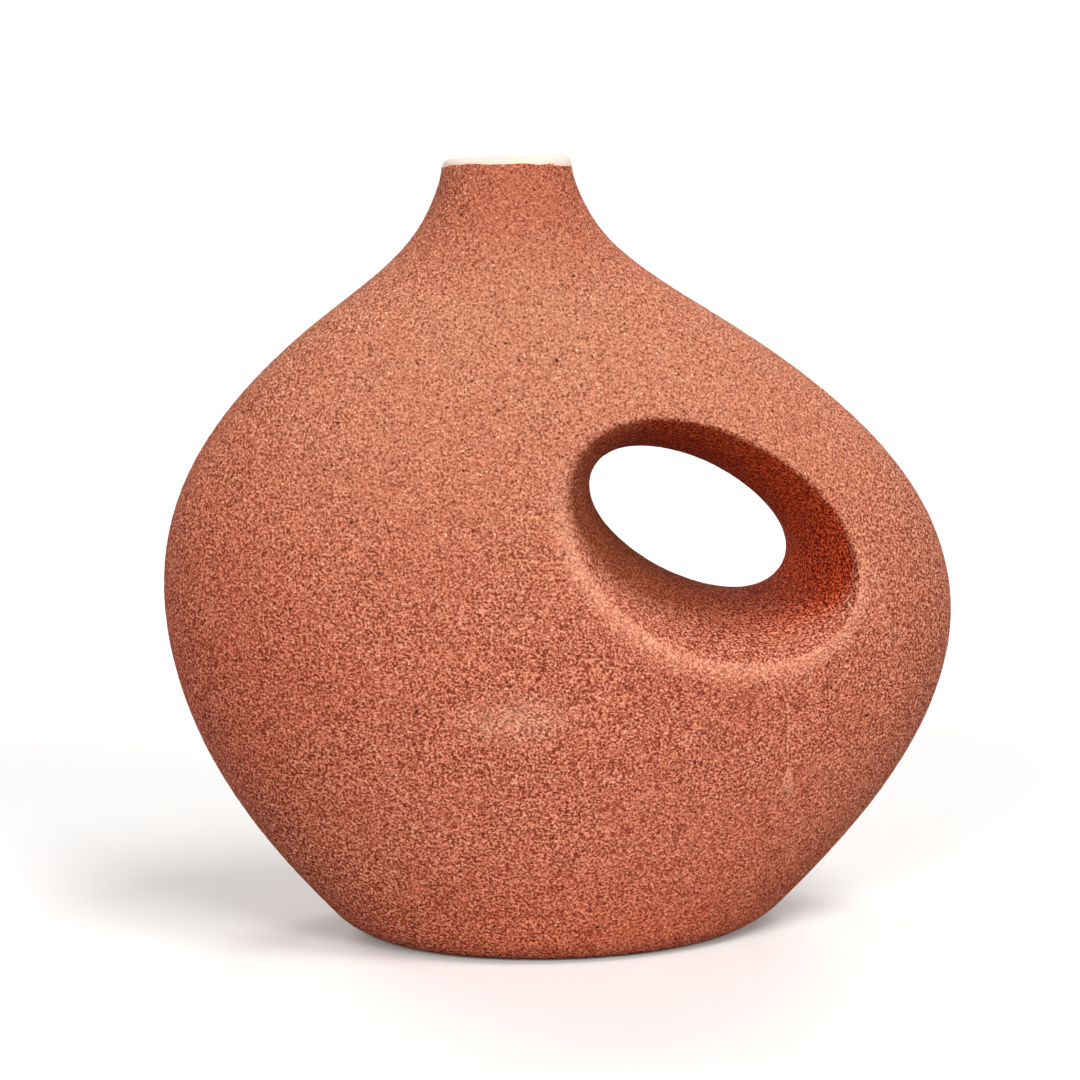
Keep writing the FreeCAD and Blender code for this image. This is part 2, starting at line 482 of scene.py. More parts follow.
def piece(name: str, points: np.ndarray, faces: np.ndarray | list) -> bpy.types.Object:
    """Make a smooth mesh object that rides on the vase.

    Args:
        name: The piece's name.
        points: Its points in millimetres.
        faces: Its faces, as numbers of points.

    Returns:
        The object.
    """
    mesh = bpy.data.meshes.new(name)
    rows = faces.tolist() if isinstance(faces, np.ndarray) else faces
    mesh.from_pydata((points * MM).tolist(), [], rows)
    mesh.polygons.foreach_set("use_smooth", [True] * len(mesh.polygons))
    made = bpy.data.objects.new(name, mesh)
    bpy.context.scene.collection.objects.link(made)
    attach(made, BODY)
    return made


def tube_faces(rings: int, around: int, closed: bool) -> list[list[int]]:
    """Faces of a tube of rings of points.

    Args:
        rings: How many rings.
        around: Points in a ring.
        closed: Whether the last ring meets the first. Otherwise both ends get a lid.

    Returns:
        The faces, as numbers of points.
    """
    faces = []
    for ring in range(rings if closed else rings - 1):
        after = (ring + 1) % rings
        for at in range(around):
            beside = (at + 1) % around
            faces.append(
                [ring * around + at, ring * around + beside, after * around + beside, after * around + at]
            )
    if not closed:
        faces.append(list(range(around))[::-1])
        faces.append([(rings - 1) * around + at for at in range(around)])
    return faces


class Wiring:
    """Adds and joins the nodes of one tree."""

    # The numbers of a mixing node's sockets for colours
    MIX_SHARE = 0
    MIX_BELOW = 6
    MIX_ABOVE = 7
    MIX_RESULT = 2

    def __init__(self, tree: bpy.types.NodeTree) -> None:
        """Take the tree to work on."""
        self.tree = tree

    def node(self, kind: str, inputs: dict | None = None, **settings: object) -> bpy.types.Node:
        """Add a node.

        Args:
            kind: The node's type.
            inputs: What goes into its sockets, by name or number: a value or another node's socket.
            settings: The node's own settings.

        Returns:
            The node.
        """
        made = self.tree.nodes.new(kind)
        for name, value in settings.items():
            setattr(made, name, value)
        self.fill(made, inputs or {})
        return made

    def fill(self, node: bpy.types.Node, inputs: dict) -> None:
        """Fill a node's sockets.

        Args:
            node: The node.
            inputs: What goes into its sockets, by name or number: a value or another node's socket.
        """
        for name, value in inputs.items():
            if isinstance(value, bpy.types.NodeSocket):
                self.tree.links.new(value, node.inputs[name])
            else:
                node.inputs[name].default_value = value

    def math(self, operation: str, *values: object, clamp: bool = False) -> bpy.types.NodeSocket:
        """Work out a number.

        Args:
            operation: What to do.
            values: The numbers or sockets it takes.
            clamp: Whether to keep the result from 0 to 1.

        Returns:
            The result's socket.
        """
        made = self.node("ShaderNodeMath", dict(enumerate(values)), operation=operation, use_clamp=clamp)
        return made.outputs[0]

    def ramp(self, value: object, low: float, high: float) -> bpy.types.NodeSocket:
        """A soft step.

        Args:
            value: The number or socket to read.
            low: Where the step starts, at 0.
            high: Where it ends, at 1.

        Returns:
            The step's socket.
        """
        inputs = {"Value": value, "From Min": low, "From Max": high}
        return self.node("ShaderNodeMapRange", inputs, interpolation_type="SMOOTHSTEP").outputs[0]

    def mix(self, share: object, below: object, above: object, kind: str = "MIX") -> bpy.types.NodeSocket:
        """Mix two colours.

        Args:
            share: How much of the second colour there is.
            below: The first colour.
            above: The second colour.
            kind: The way of mixing.

        Returns:
            The mixed colour's socket.
        """
        inputs = {self.MIX_SHARE: share, self.MIX_BELOW: below, self.MIX_ABOVE: above}
        made = self.node("ShaderNodeMix", inputs, data_type="RGBA", blend_type=kind)
        return made.outputs[self.MIX_RESULT]

    def noise(self, place: object, fineness: object, **more: float) -> bpy.types.bpy_prop_collection:
        """Smooth noise.

        Args:
            place: The places to read it at.
            fineness: How many times it changes in a metre.
            more: What goes into the noise's other sockets, by name.

        Returns:
            The noise's sockets.
        """
        return self.node("ShaderNodeTexNoise", {"Vector": place, "Scale": fineness, **more}).outputs

    def bump(self, height: bpy.types.NodeSocket, depth: float, strength: float) -> bpy.types.NodeSocket:
        """Lift the surface.

        Args:
            height: How high it stands.
            depth: What a height of 1 is, in millimetres.
            strength: How much of the lift shows.

        Returns:
            The socket of the lifted surface's direction.
        """
        inputs = {"Height": height, "Distance": depth * MM, "Strength": strength}
        return self.node("ShaderNodeBump", inputs).outputs[0]

    def mark(self, name: str) -> bpy.types.NodeSocket:
        """The socket of a mark on the mesh's points."""
        return self.node("ShaderNodeAttribute", attribute_name=name).outputs["Fac"]


def new_group(name: str, takes: dict[str, str], gives: dict[str, str]) -> tuple[Wiring, dict, dict]:
    """Start a shader node group.

    Args:
        name: The group's name.
        takes: The kind of each input, by name.
        gives: The kind of each output, by name.

    Returns:
        The group's wiring, its input sockets, and its output sockets, by name.
    """
    tree = bpy.data.node_groups.new(name, "ShaderNodeTree")
    for way, sockets in (("INPUT", takes), ("OUTPUT", gives)):
        for label, kind in sockets.items():
            tree.interface.new_socket(name=label, in_out=way, socket_type=f"NodeSocket{kind}")
    start = tree.nodes.new("NodeGroupInput")
    end = tree.nodes.new("NodeGroupOutput")
    return Wiring(tree), dict(start.outputs.items()), dict(end.inputs.items())


def shaken(wiring: Wiring, place: object, fineness: object, reach: float) -> bpy.types.NodeSocket:
    """Places moved about by noise, so that what is drawn there gets an uneven outline.

    Args:
        wiring: The tree's wiring.
        place: The places.
        fineness: How many times the noise changes in a metre.
        reach: How far a place moves at most, in millimetres.

    Returns:
        The socket of the moved places.
    """
    noise = wiring.noise(place, fineness, Detail=1.0)
    inputs = {0: noise["Color"], 1: (reach * MM,) * 3, 2: place}
    return wiring.node("ShaderNodeVectorMath", inputs, operation="MULTIPLY_ADD").outputs[0]


class NodeGroup:
    """An effect that materials share: a shader node group, built when it is first used."""

    NAME: str
    TAKES: dict[str, str]
    GIVES: dict[str, str]

    @classmethod
    def wire(cls, wiring: Wiring, start: dict, end: dict) -> None:
        """Wire the group.

        Args:
            wiring: The group's wiring.
            start: The sockets of what it takes, by name.
            end: The sockets of what it gives, by name.
        """
        raise NotImplementedError

    @classmethod
    def use(cls, wiring: Wiring, inputs: dict) -> bpy.types.bpy_prop_collection:
        """Place the group in a material.

        Args:
            wiring: The material's wiring.
            inputs: What goes into the group, by name.

        Returns:
            The sockets of what it gives.
        """
        if cls.NAME not in bpy.data.node_groups:
            cls.wire(*new_group(cls.NAME, cls.TAKES, cls.GIVES))
        tree = bpy.data.node_groups[cls.NAME]
        return wiring.node("ShaderNodeGroup", inputs, node_tree=tree).outputs


class GrainGroup(NodeGroup):
    """Sand in fired clay: a tone for each grain, pale and brown grains, and how high each stands."""

    NAME = "sand_grain"
    TAKES = {"Place": "Vector", "Fineness": "Float", "Pale Share": "Float", "Brown Share": "Float"}
    GIVES = {"Tone": "Float", "Pale": "Float", "Brown": "Float", "Height": "Float"}
    # How far a grain's outline is shaken, in millimetres
    SHAKE = 0.6
    # The detail of the fine noise, and how it is stretched into a tone
    DETAIL = 1.5
    ROUGHNESS = 0.6
    TONE_GAIN = 2.0
    TONE_SHIFT = -0.67
    # What painted light on the top of the dullest grain adds to the tone, and how much more on the
    # brightest
    LEAST_TOP_LIGHT = 0.1
    MORE_TOP_LIGHT = 0.3
    # Where a pale or brown grain starts to fade on the way from its middle, and where it is gone
    FADE_FROM = 0.32
    FADE_TO = 0.62
    # What the grain's own lot and the fine noise add to its height
    LOT_HEIGHT = 0.4
    FINE_HEIGHT = 2.0

    @classmethod
    def wire(cls, wiring: Wiring, start: dict, end: dict) -> None:
        """Wire the grains.

        Args:
            wiring: The group's wiring.
            start: The sockets of what it takes, by name.
            end: The sockets of what it gives, by name.
        """
        join = wiring.tree.links.new
        place = shaken(wiring, start["Place"], start["Fineness"], cls.SHAKE)
        cells = wiring.node("ShaderNodeTexVoronoi", {"Vector": place, "Scale": start["Fineness"]}).outputs
        lots = wiring.node("ShaderNodeSeparateColor", {0: cells["Color"]}).outputs
        fine = wiring.noise(start["Place"], start["Fineness"], Detail=cls.DETAIL, Roughness=cls.ROUGHNESS)
        lift = wiring.math("MULTIPLY_ADD", fine["Fac"], cls.TONE_GAIN, cls.TONE_SHIFT)
        # Painted light: a grain's top is lighter than its edge, and the gaps between grains get painted
        # shade
        dome = wiring.math("SUBTRACT", 1.0, cells["Distance"])
        top_light = wiring.math("MULTIPLY_ADD", lots[0], cls.MORE_TOP_LIGHT, cls.LEAST_TOP_LIGHT)
        join(wiring.math("ADD", lift, wiring.math("MULTIPLY", dome, top_light)), end["Tone"])
        faded = wiring.ramp(cells["Distance"], cls.FADE_FROM, cls.FADE_TO)
        middle = wiring.math("SUBTRACT", 1.0, faded)
        for name, lot in (("Pale", lots[1]), ("Brown", lots[2])):
            chosen = wiring.math("LESS_THAN", lot, start[f"{name} Share"])
            join(wiring.math("MULTIPLY", chosen, middle), end[name])
        stand = wiring.math("MULTIPLY_ADD", lots[0], cls.LOT_HEIGHT, dome)
        join(wiring.math("MULTIPLY_ADD", fine["Fac"], cls.FINE_HEIGHT, stand), end["Height"])


class DriftGroup(NodeGroup):
    """Slow changes of tone over a hand's width, as a kiln and a brush leave them."""

    NAME = "slow_drift"
    TAKES = {"Place": "Vector", "Broad": "Float", "Patchy": "Float"}
    GIVES = {"Drift": "Float"}
    # How much the patches count beside the broad change, and where in the sum the drift starts and ends
    PATCH_SHARE = 0.5
    DRIFT_FROM = 0.5
    DRIFT_TO = 1.0

    @classmethod
    def wire(cls, wiring: Wiring, start: dict, end: dict) -> None:
        """Wire the drift.

        Args:
            wiring: The group's wiring.
            start: The sockets of what it takes, by name.
            end: The sockets of what it gives, by name.
        """
        broad = wiring.noise(start["Place"], start["Broad"])
        patchy = wiring.noise(start["Place"], start["Patchy"])
        both = wiring.math("MULTIPLY_ADD", patchy["Fac"], cls.PATCH_SHARE, broad["Fac"])
        wiring.tree.links.new(wiring.ramp(both, cls.DRIFT_FROM, cls.DRIFT_TO), end["Drift"])


class PitGroup(NodeGroup):
    """Small dark dots, where iron in the clay has melted through."""

    NAME = "iron_dots"
    TAKES = {"Place": "Vector", "Fineness": "Float", "Share": "Float"}
    GIVES = {"Dot": "Float"}
    # How far a dot's outline is shaken, in millimetres, and how much finer that noise is than the dots
    SHAKE = 0.9
    SHAKE_FINER = 3.0
    # The smallest dot's reach as a share of the spacing, and how much more the largest has
    LEAST_REACH = 0.12
    MORE_REACH = 0.13
    # How far on the way to its middle a dot gets its full dark
    FULL_AT = 0.8

    @classmethod
    def wire(cls, wiring: Wiring, start: dict, end: dict) -> None:
        """Wire the dots.

        Args:
            wiring: The group's wiring.
            start: The sockets of what it takes, by name.
            end: The sockets of what it gives, by name.
        """
        finer = wiring.math("MULTIPLY", start["Fineness"], cls.SHAKE_FINER)
        place = shaken(wiring, start["Place"], finer, cls.SHAKE)
        cells = wiring.node("ShaderNodeTexVoronoi", {"Vector": place, "Scale": start["Fineness"]}).outputs
        lots = wiring.node("ShaderNodeSeparateColor", {0: cells["Color"]}).outputs
        reach = wiring.math("MULTIPLY_ADD", lots[1], cls.MORE_REACH, cls.LEAST_REACH)
        far = wiring.math("DIVIDE", cells["Distance"], reach)
        near = wiring.ramp(wiring.math("SUBTRACT", 1.0, far, clamp=True), 0.0, cls.FULL_AT)
        chosen = wiring.math("LESS_THAN", lots[0], start["Share"])
        wiring.tree.links.new(wiring.math("MULTIPLY", near, chosen), end["Dot"])


def start_material(name: str) -> tuple[bpy.types.Material, Wiring, bpy.types.Node, bpy.types.NodeSocket]:
    """Start a material.

    Args:
        name: The material's name.

    Returns:
        The material, its wiring, its shader, and the socket that gives a point's place in the vase's
        frame.
    """
    made = bpy.data.materials.new(name)
    made.use_nodes = True
    wiring = Wiring(made.node_tree)
    shader = made.node_tree.nodes["Principled BSDF"]
    return made, wiring, shader, wiring.node("ShaderNodeTexCoord").outputs["Object"]


@dataclass(frozen=True)
class Scuff:
    """A pale rubbed patch on the coat, broken up into specks: its middle and its reach on each axis."""

    middle: tuple[float, float, float]
    reach: tuple[float, float, float]
    # How many specks there are in a metre, and the noise at which one starts and at which it is full
    fineness: float = 900.0
    detail: float = 2.0
    speck_from: float = 0.48
    speck_full: float = 0.7
    # How much is rubbed off between the specks, and how much more on them
    between: float = 0.1
    on_specks: float = 0.85

    def mask(self, wiring: Wiring, place: bpy.types.NodeSocket) -> bpy.types.NodeSocket:
        """How much is rubbed off.

        Args:
            wiring: The material's wiring.
            place: A point's place.

        Returns:
            The mask's socket.
        """
        middle = tuple(value * MM for value in self.middle)
        reach = tuple(value * MM for value in self.reach)
        off = wiring.node("ShaderNodeVectorMath", {0: place, 1: middle}, operation="SUBTRACT")
        scaled = wiring.node("ShaderNodeVectorMath", {0: off.outputs[0], 1: reach}, operation="DIVIDE")
        far = wiring.node("ShaderNodeVectorMath", {0: scaled.outputs[0]}, operation="LENGTH")
        near = wiring.math("SUBTRACT", 1.0, wiring.ramp(far.outputs["Value"], 0.0, 1.0))
        noise = wiring.noise(place, self.fineness, Detail=self.detail)
        speck = wiring.ramp(noise["Fac"], self.speck_from, self.speck_full)
        wear_and_crest_light = wiring.math("MULTIPLY_ADD", speck, self.on_specks, self.between)
        return wiring.math("MULTIPLY", near, wear_and_crest_light)


@dataclass(frozen=True)
class Tint:
    """A tint that grows along an axis.

    At one place on the axis a colour keeps all of its red, green and blue, and at another only the
    shares given here.
    """

    keeps: tuple[float, float, float, float]
    axis: int
    whole_at: float
    less_at: float


@dataclass(frozen=True)
class GrittyFinish:
    """Matte terracotta full of sand, with pale, brown and black specks."""

    name: str = "gritty_terracotta"
    shade: tuple[float, ...] = linear(146, 66, 41)
    light: tuple[float, ...] = linear(252, 176, 140)
    pale: tuple[float, ...] = linear(248, 196, 164)
    brown: tuple[float, ...] = linear(112, 50, 34)
    black: tuple[float, ...] = linear(62, 32, 24)
    glint: tuple[float, ...] = linear(255, 226, 200)
    hollow: tuple[float, ...] = linear(100, 34, 12)
    rubbed_pale: tuple[float, ...] = linear(254, 212, 174)
    rosy: tuple[float, ...] = linear(206, 118, 88)
    # Painted shade in the hole: darker deep on its lower side, darker and redder behind its upper edge
    deep_shade_tint: tuple[float, ...] = (0.48, 0.33, 0.2, 1.0)
    shade_tint: tuple[float, ...] = (0.93, 0.34, 0.138, 1.0)
    # Darker and mostly redder towards the foot, the lip and both sides: partly painted shade, partly coat
    # colour
    tints: tuple[Tint, ...] = (
        Tint((0.98, 0.76, 0.76, 1.0), 2, 190.0, 75.0),
        Tint((0.92, 0.76, 0.68, 1.0), 2, 45.0, 0.0),
        Tint((0.9, 0.72, 0.69, 1.0), 2, 195.0, 230.0),
        Tint((0.9, 0.76, 0.74, 1.0), 0, -50.0, -122.0),
        Tint((0.9, 0.9, 0.9, 1.0), 0, 85.0, 122.0),
    )
    # The tone at which a grain starts to glint and that at which it does so fully, and likewise for the
    # hollows between the grains: partly grain colour, partly painted highlight and painted shade
    glint_tones: tuple[float, float] = (0.85, 1.8)
    hollow_tones: tuple[float, float] = (0.1, -0.8)
    # The tone that contrast leaves alone
    middle_tone: float = 0.5
    # Where the grain starts to stand out more, where it does so most, and how much more there, on the
    # sides and on the hole's shaded wall: painted relief shade where the lamps rake across the grain
    strong_from: float = 190.0
    strong_at: float = 75.0
    strong: float = 0.95
    side_strong: float = 0.75
    wall_strong: float = 1.6
    # How squarely a face looks to the front or the back where it stops being a side, and where it is one
    side_turn: tuple[float, float] = (0.97, 0.55)
    # How much lighter and how much paler the grains are on the hole's lit crest, a painted highlight
    painted_crest_light: float = 0.3
    painted_crest_pale: float = 0.25
    grain: float = 0.76
    grain_height: float = 0.6
    bump: float = 0.8
    pale_share: float = 0.015
    brown_share: float = 0.03
    blot_spacing: float = 3.4
    blot_share: float = 0.17
    dot_spacing: float = 3.6
    dot_share: float = 0.18
    drift_broad: float = 14.0
    drift_patchy: float = 60.0
    drift_share: float = 0.25
    roughness: float = 0.92
    shine: float = 0.2
    scuff: Scuff | None = None

    def material(self) -> bpy.types.Material:
        """Build the material.

        Returns:
            The material.
        """
        made, wiring, shader, place = start_material(self.name)
        inputs = {
            "Place": place,
            "Fineness": 1 / (self.grain * MM),
            "Pale Share": self.pale_share,
            "Brown Share": self.brown_share,
        }
        grain = GrainGroup.use(wiring, inputs)
        inputs = {"Place": place, "Broad": self.drift_broad, "Patchy": self.drift_patchy}
        drift = DriftGroup.use(wiring, inputs)["Drift"]
        axes = wiring.node("ShaderNodeSeparateXYZ", {0: place}).outputs
        wear_and_crest_light = wiring.mark(CREST_LIGHT_MARK)
        tone = wiring.math("SUBTRACT", grain["Tone"], self.middle_tone)
        tone = wiring.math("MULTIPLY_ADD", tone, self.contrast(wiring, axes), self.middle_tone)
        # Painted highlight on the hole's lit crest: lighter grains there
        tone = wiring.math("MULTIPLY_ADD", wear_and_crest_light, self.painted_crest_light, tone)
        colour = wiring.mix(wiring.math("ADD", tone, 0.0, clamp=True), self.shade, self.light)
        # The palest and darkest grains, partly painted highlight on grain tops and painted shade in the
        # hollows
        colour = wiring.mix(wiring.ramp(tone, *self.glint_tones), colour, self.glint)
        colour = wiring.mix(wiring.ramp(tone, *self.hollow_tones), colour, self.hollow)
        colour = wiring.mix(wiring.math("MULTIPLY", drift, self.drift_share), colour, self.rosy)
        colour = wiring.mix(grain["Brown"], colour, self.brown)
        colour = wiring.mix(grain["Pale"], colour, self.pale)
        if self.scuff:
            colour = wiring.mix(self.scuff.mask(wiring, place), colour, self.rubbed_pale)
        for spacing, share, dark in (
            (self.blot_spacing, self.blot_share, self.brown),
            (self.dot_spacing, self.dot_share, self.black),
        ):
            inputs = {"Place": place, "Fineness": 1 / (spacing * MM), "Share": share}
            colour = wiring.mix(PitGroup.use(wiring, inputs)["Dot"], colour, dark)
        # Painted highlight on the hole's lit crest: paler grains there
        colour = wiring.mix(wiring.math("MULTIPLY", wear_and_crest_light, self.painted_crest_pale), colour, self.pale)
        inputs = {
            "Base Color": self.tinted(wiring, axes, colour),
            "Roughness": self.roughness,
            "Specular IOR Level": self.shine,
            "Normal": wiring.bump(grain["Height"], self.grain_height, self.bump),
        }
        wiring.fill(shader, inputs)
        return made

    def contrast(self, wiring: Wiring, axes: bpy.types.bpy_prop_collection) -> bpy.types.NodeSocket:
        """How much the grain stands out: more on the lower part, the sides and the hole's shaded wall.

        Args:
            wiring: The material's wiring.
            axes: A point's place on each axis.

        Returns:
            The socket of the contrast.
        """
        # Painted relief shade: the grain's tones spread further where the lamps rake across it
        turned = wiring.node("ShaderNodeTexCoord").outputs["Normal"]
        turned = wiring.math("ABSOLUTE", wiring.node("ShaderNodeSeparateXYZ", {0: turned}).outputs[1])
        gain = wiring.math("MULTIPLY_ADD", wiring.ramp(turned, *self.side_turn), self.side_strong, 1.0)
        lower = wiring.ramp(axes[2], self.strong_from * MM, self.strong_at * MM)
        gain = wiring.math("MULTIPLY_ADD", lower, self.strong, gain)
        return wiring.math("MULTIPLY_ADD", wiring.mark(SHADE_MARK), self.wall_strong, gain)

    def tinted(
        self, wiring: Wiring, axes: bpy.types.bpy_prop_collection, colour: bpy.types.NodeSocket
    ) -> bpy.types.NodeSocket:
        """Paint shade in the hole, and redden or darken the colour towards the foot, the lip and both
        sides.

        Args:
            wiring: The material's wiring.
            axes: A point's place on each axis.
            colour: The colour so far.

        Returns:
            The tinted colour's socket.
        """
        # Painted shade deep in the hole and behind its upper edge
        for mark, keeps in ((DEEP_SHADE_MARK, self.deep_shade_tint), (SHADE_MARK, self.shade_tint)):
            colour = wiring.mix(wiring.mark(mark), colour, keeps, "MULTIPLY")
        # Partly painted shade, partly the coat's own colour
        for tint in self.tints:
            share = wiring.ramp(axes[tint.axis], tint.whole_at * MM, tint.less_at * MM)
            colour = wiring.mix(share, colour, tint.keeps, "MULTIPLY")
        return colour


@dataclass(frozen=True)
class CreamFinish:
    """Satin cream glaze, a little thicker and yellower in places, with a few small dots."""

    name: str = "cream_glaze"
    thin: tuple[float, ...] = linear(238, 220, 208)
    thick: tuple[float, ...] = linear(235, 211, 190)
    dot: tuple[float, ...] = linear(170, 130, 96)
    dot_fineness: float = 220.0
    dot_share: float = 0.04
    drift_broad: float = 40.0
    drift_patchy: float = 240.0
    # How rough thin glaze is, and how much rougher thick glaze is
    roughness: float = 0.45
    thick_rougher: float = 0.15
    shine: float = 0.08
    ripple_fineness: float = 160.0
    ripple_height: float = 0.3
    bump: float = 0.35

    def material(self) -> bpy.types.Material:
        """Build the material.

        Returns:
            The material.
        """
        made, wiring, shader, place = start_material(self.name)
        inputs = {"Place": place, "Broad": self.drift_broad, "Patchy": self.drift_patchy}
        drift = DriftGroup.use(wiring, inputs)["Drift"]
        inputs = {"Place": place, "Fineness": self.dot_fineness, "Share": self.dot_share}
        dots = PitGroup.use(wiring, inputs)["Dot"]
        ripple = wiring.noise(place, self.ripple_fineness)["Fac"]
        inputs = {
            "Base Color": wiring.mix(dots, wiring.mix(drift, self.thin, self.thick), self.dot),
            "Roughness": wiring.math("MULTIPLY_ADD", drift, self.thick_rougher, self.roughness),
            "Specular IOR Level": self.shine,
            "Normal": wiring.bump(ripple, self.ripple_height, self.bump),
        }
        wiring.fill(shader, inputs)
        return made


@dataclass(frozen=True)
class ClayFinish:
    """Bare fired clay with fine sand."""

    name: str = "fired_clay"
    shade: tuple[float, ...] = linear(168, 112, 82)
    light: tuple[float, ...] = linear(214, 164, 128)
    speck: tuple[float, ...] = linear(96, 58, 42)
    speck_share: float = 0.05
    fineness: float = 1600.0
    grain_height: float = 0.1
    bump: float = 0.6
    drift_broad: float = 30.0
    drift_patchy: float = 140.0
    # How much the grain counts beside the drift, and how much of the light colour their sum gives
    grain_share: float = 0.5
    light_share: float = 0.66
    roughness: float = 0.95
    shine: float = 0.2

    def material(self) -> bpy.types.Material:
        """Build the material.

        Returns:
            The material.
        """
        made, wiring, shader, place = start_material(self.name)
        inputs = {"Place": place, "Fineness": self.fineness, "Brown Share": self.speck_share}
        grain = GrainGroup.use(wiring, inputs)
        inputs = {"Place": place, "Broad": self.drift_broad, "Patchy": self.drift_patchy}
        drift = DriftGroup.use(wiring, inputs)["Drift"]
        tone = wiring.math("MULTIPLY_ADD", grain["Tone"], self.grain_share, drift)
        colour = wiring.mix(wiring.math("MULTIPLY", tone, self.light_share), self.shade, self.light)
        inputs = {
            "Base Color": wiring.mix(grain["Brown"], colour, self.speck),
            "Roughness": self.roughness,
            "Specular IOR Level": self.shine,
            "Normal": wiring.bump(grain["Height"], self.grain_height, self.bump),
        }
        wiring.fill(shader, inputs)
        return made


@dataclass(frozen=True)
class Wave:
    """A wave round the vase: how many there are in a turn, where in itself it starts, and its share."""

    count: int
    start: float
    share: float

    def at(self, turn: np.ndarray) -> np.ndarray:
        """The wave's height at some turns round the vase."""
        return self.share * np.sin(self.count * turn + self.start)


@dataclass(frozen=True)
class Notch:
    """A place where the coat's border dips: its turn round the vase, its width and its depth."""

    place_deg: float
    width_deg: float
    depth: float

    def at(self, turn: np.ndarray) -> np.ndarray:
        """The notch's depth at some turns round the vase."""
        off = (turn - math.radians(self.place_deg) + math.pi) % (2 * math.pi) - math.pi
        return self.depth * np.exp(-((off / math.radians(self.width_deg)) ** 2))


@dataclass
class GrittyCoat:
    """The coat over the outside and through the hole, a little uneven as a hand leaves it."""

    form: VaseForm
    finish: GrittyFinish
    thickness: float = 0.8
    step: float = 1.05
    quick_step: float = 2.4
    # Room round the vase in the grid, in steps, and how often the net is relaxed and then settled
    room_steps: int = 3
    rounds: int = 6
    last_rounds: int = 2
    sway: float = 0.22
    sway_lift: float = 0.6
    sway_size: float = 48.0
    dimple: float = 0.07
    dimple_size: float = 15.0
    grit: float = 0.07
    grit_size: float = 1.5
    lip_swell: float = 0.5
    lip_swell_height: float = 9.0
    foot_line: float = 0.9
    foot_wave: float = 0.15
    foot_waves: tuple[Wave, ...] = (Wave(5, 0.7, 1.0), Wave(11, 2.1, 0.6), Wave(23, 0.0, 0.5))
    lip_band: float = 1.85
    lip_lean: float = 0.42
    lip_wave: float = 0.12
    lip_waves: tuple[Wave, ...] = (Wave(7, 1.2, 1.0), Wave(17, 0.4, 0.5))
    lip_notches: tuple[Notch, ...] = (
        Notch(-115.0, 6.0, 0.3),
        Notch(-70.0, 7.0, 0.6),
        Notch(180.0, 16.0, 1.0),
        Notch(-10.0, 20.0, -0.5),
    )
    # The share of the round of the hole's edge that counts as the edge itself
    edge_share: float = 0.6
    # How far the hole's marks reach past its wall, at least and for each millimetre of the edge's round
    wall_reach: float = 1.5
    wall_reach_soft: float = 0.5
    # The direction of the hole's left end, and how closely a place has to lie there to count as left
    left_deg: float = 180.0
    left_power: float = 2.0
    # Where on the hole's lower side the painted shade deep in the hole begins, how much earlier it does so
    # on the left, over how many millimetres it grows, and how many fewer those are on the left
    dark_from: float = 8.0
    dark_early: float = 11.5
    dark_over: float = 22.0
    dark_quick: float = 13.0
    # The direction of the hole's upper side, how widely the painted shade behind the edge spreads from
    # there, how far before the edge's end it begins, over how many millimetres it grows, and how ragged
    # its line is
    shaded_deg: float = 60.0
    shaded_gain: float = 1.35
    shade_early: float = 0.6
    shade_over: float = 1.6
    ragged: float = 0.7
    # How much later the painted shade begins towards the crest's lit side, over how many more millimetres
    # it grows there, and how widely and how closely to that side this holds
    late_by: float = 4.0
    late_over: float = 14.0
    late_gain: float = 1.25
    late_power: float = 3.0
    # The direction in which the hole's crest gets the most painted highlight, how nearly a place has to
    # lie there for some of it and over what share that grows, and how far the highlight reaches over the
    # outer face and past the edge's round into the hole
    lit_crest_deg: float = -65.0
    lit_crest_from: float = 0.25
    lit_crest_grows: float = 0.4
    lit_crest_outer: float = 5.5
    lit_crest_inner: float = 0.4
    # How often a search for a point of the surface halves its stretch
    halvings: int = 40

    def border(self, points: np.ndarray, which: Border) -> np.ndarray:
        """Height of a border of the coat, round the vase.

        Args:
            points: Points beside the border.
            which: The border to follow.

        Returns:
            The border's height for each point.
        """
        turn = np.arctan2(points[:, 1], points[:, 0] - self.form.lip.shift)
        if which is Border.FOOT:
            return self.foot_line + self.foot_wave * sum(wave.at(turn) for wave in self.foot_waves)
        band = self.lip_band + self.lip_lean * np.cos(turn)
        band = band + self.lip_wave * sum(wave.at(turn) for wave in self.lip_waves)
        for notch in self.lip_notches:
            band = band + notch.at(turn)
        return self.form.lip_plane(points[:, 0]) - band

    def gap(self, points: np.ndarray) -> np.ndarray:
        """How far points lie outside the coat, its unevenness included.

        Args:
            points: One point a row.

        Returns:
            The gap for each point.
        """
        uneven = self.sway * (self.sway_lift + lattice_noise(points, self.sway_size, Seed.SWAY))
        uneven += self.dimple * lattice_noise(points, self.dimple_size, Seed.DIMPLE)
        below_lip = self.form.lip_plane(points[:, 0]) - points[:, 2]
        swell = np.clip(1 - below_lip / self.lip_swell_height, 0, 1)
        return self.form.gap(*points.T) - uneven - self.lip_swell * swell * swell

    def slope(self, points: np.ndarray) -> np.ndarray:
        """The direction in which the gap grows.

        Args:
            points: One point a row.

        Returns:
            The gap's change for each millimetre in X, Y and Z.
        """
        ahead = [self.gap(points + move) - self.gap(points - move) for move in PROBE * np.eye(3)]
        return np.stack(ahead, axis=1) / (2 * PROBE)

    def settled(self, points: np.ndarray, rims: dict[Border, np.ndarray]) -> np.ndarray:
        """Bring points to the coat's surface, and those of its rims to their borders.

        Args:
            points: One point a row.
            rims: Which points lie on each border.

        Returns:
            The settled points.
        """
        points = points.copy()
        for border, on_rim in rims.items():
            points[on_rim, 2] = self.border(points[on_rim], border)
        slope = self.slope(points)
        for on_rim in rims.values():
            slope[on_rim, 2] = 0
        return points - slope * (self.gap(points) / (slope**2).sum(axis=1))[:, None]

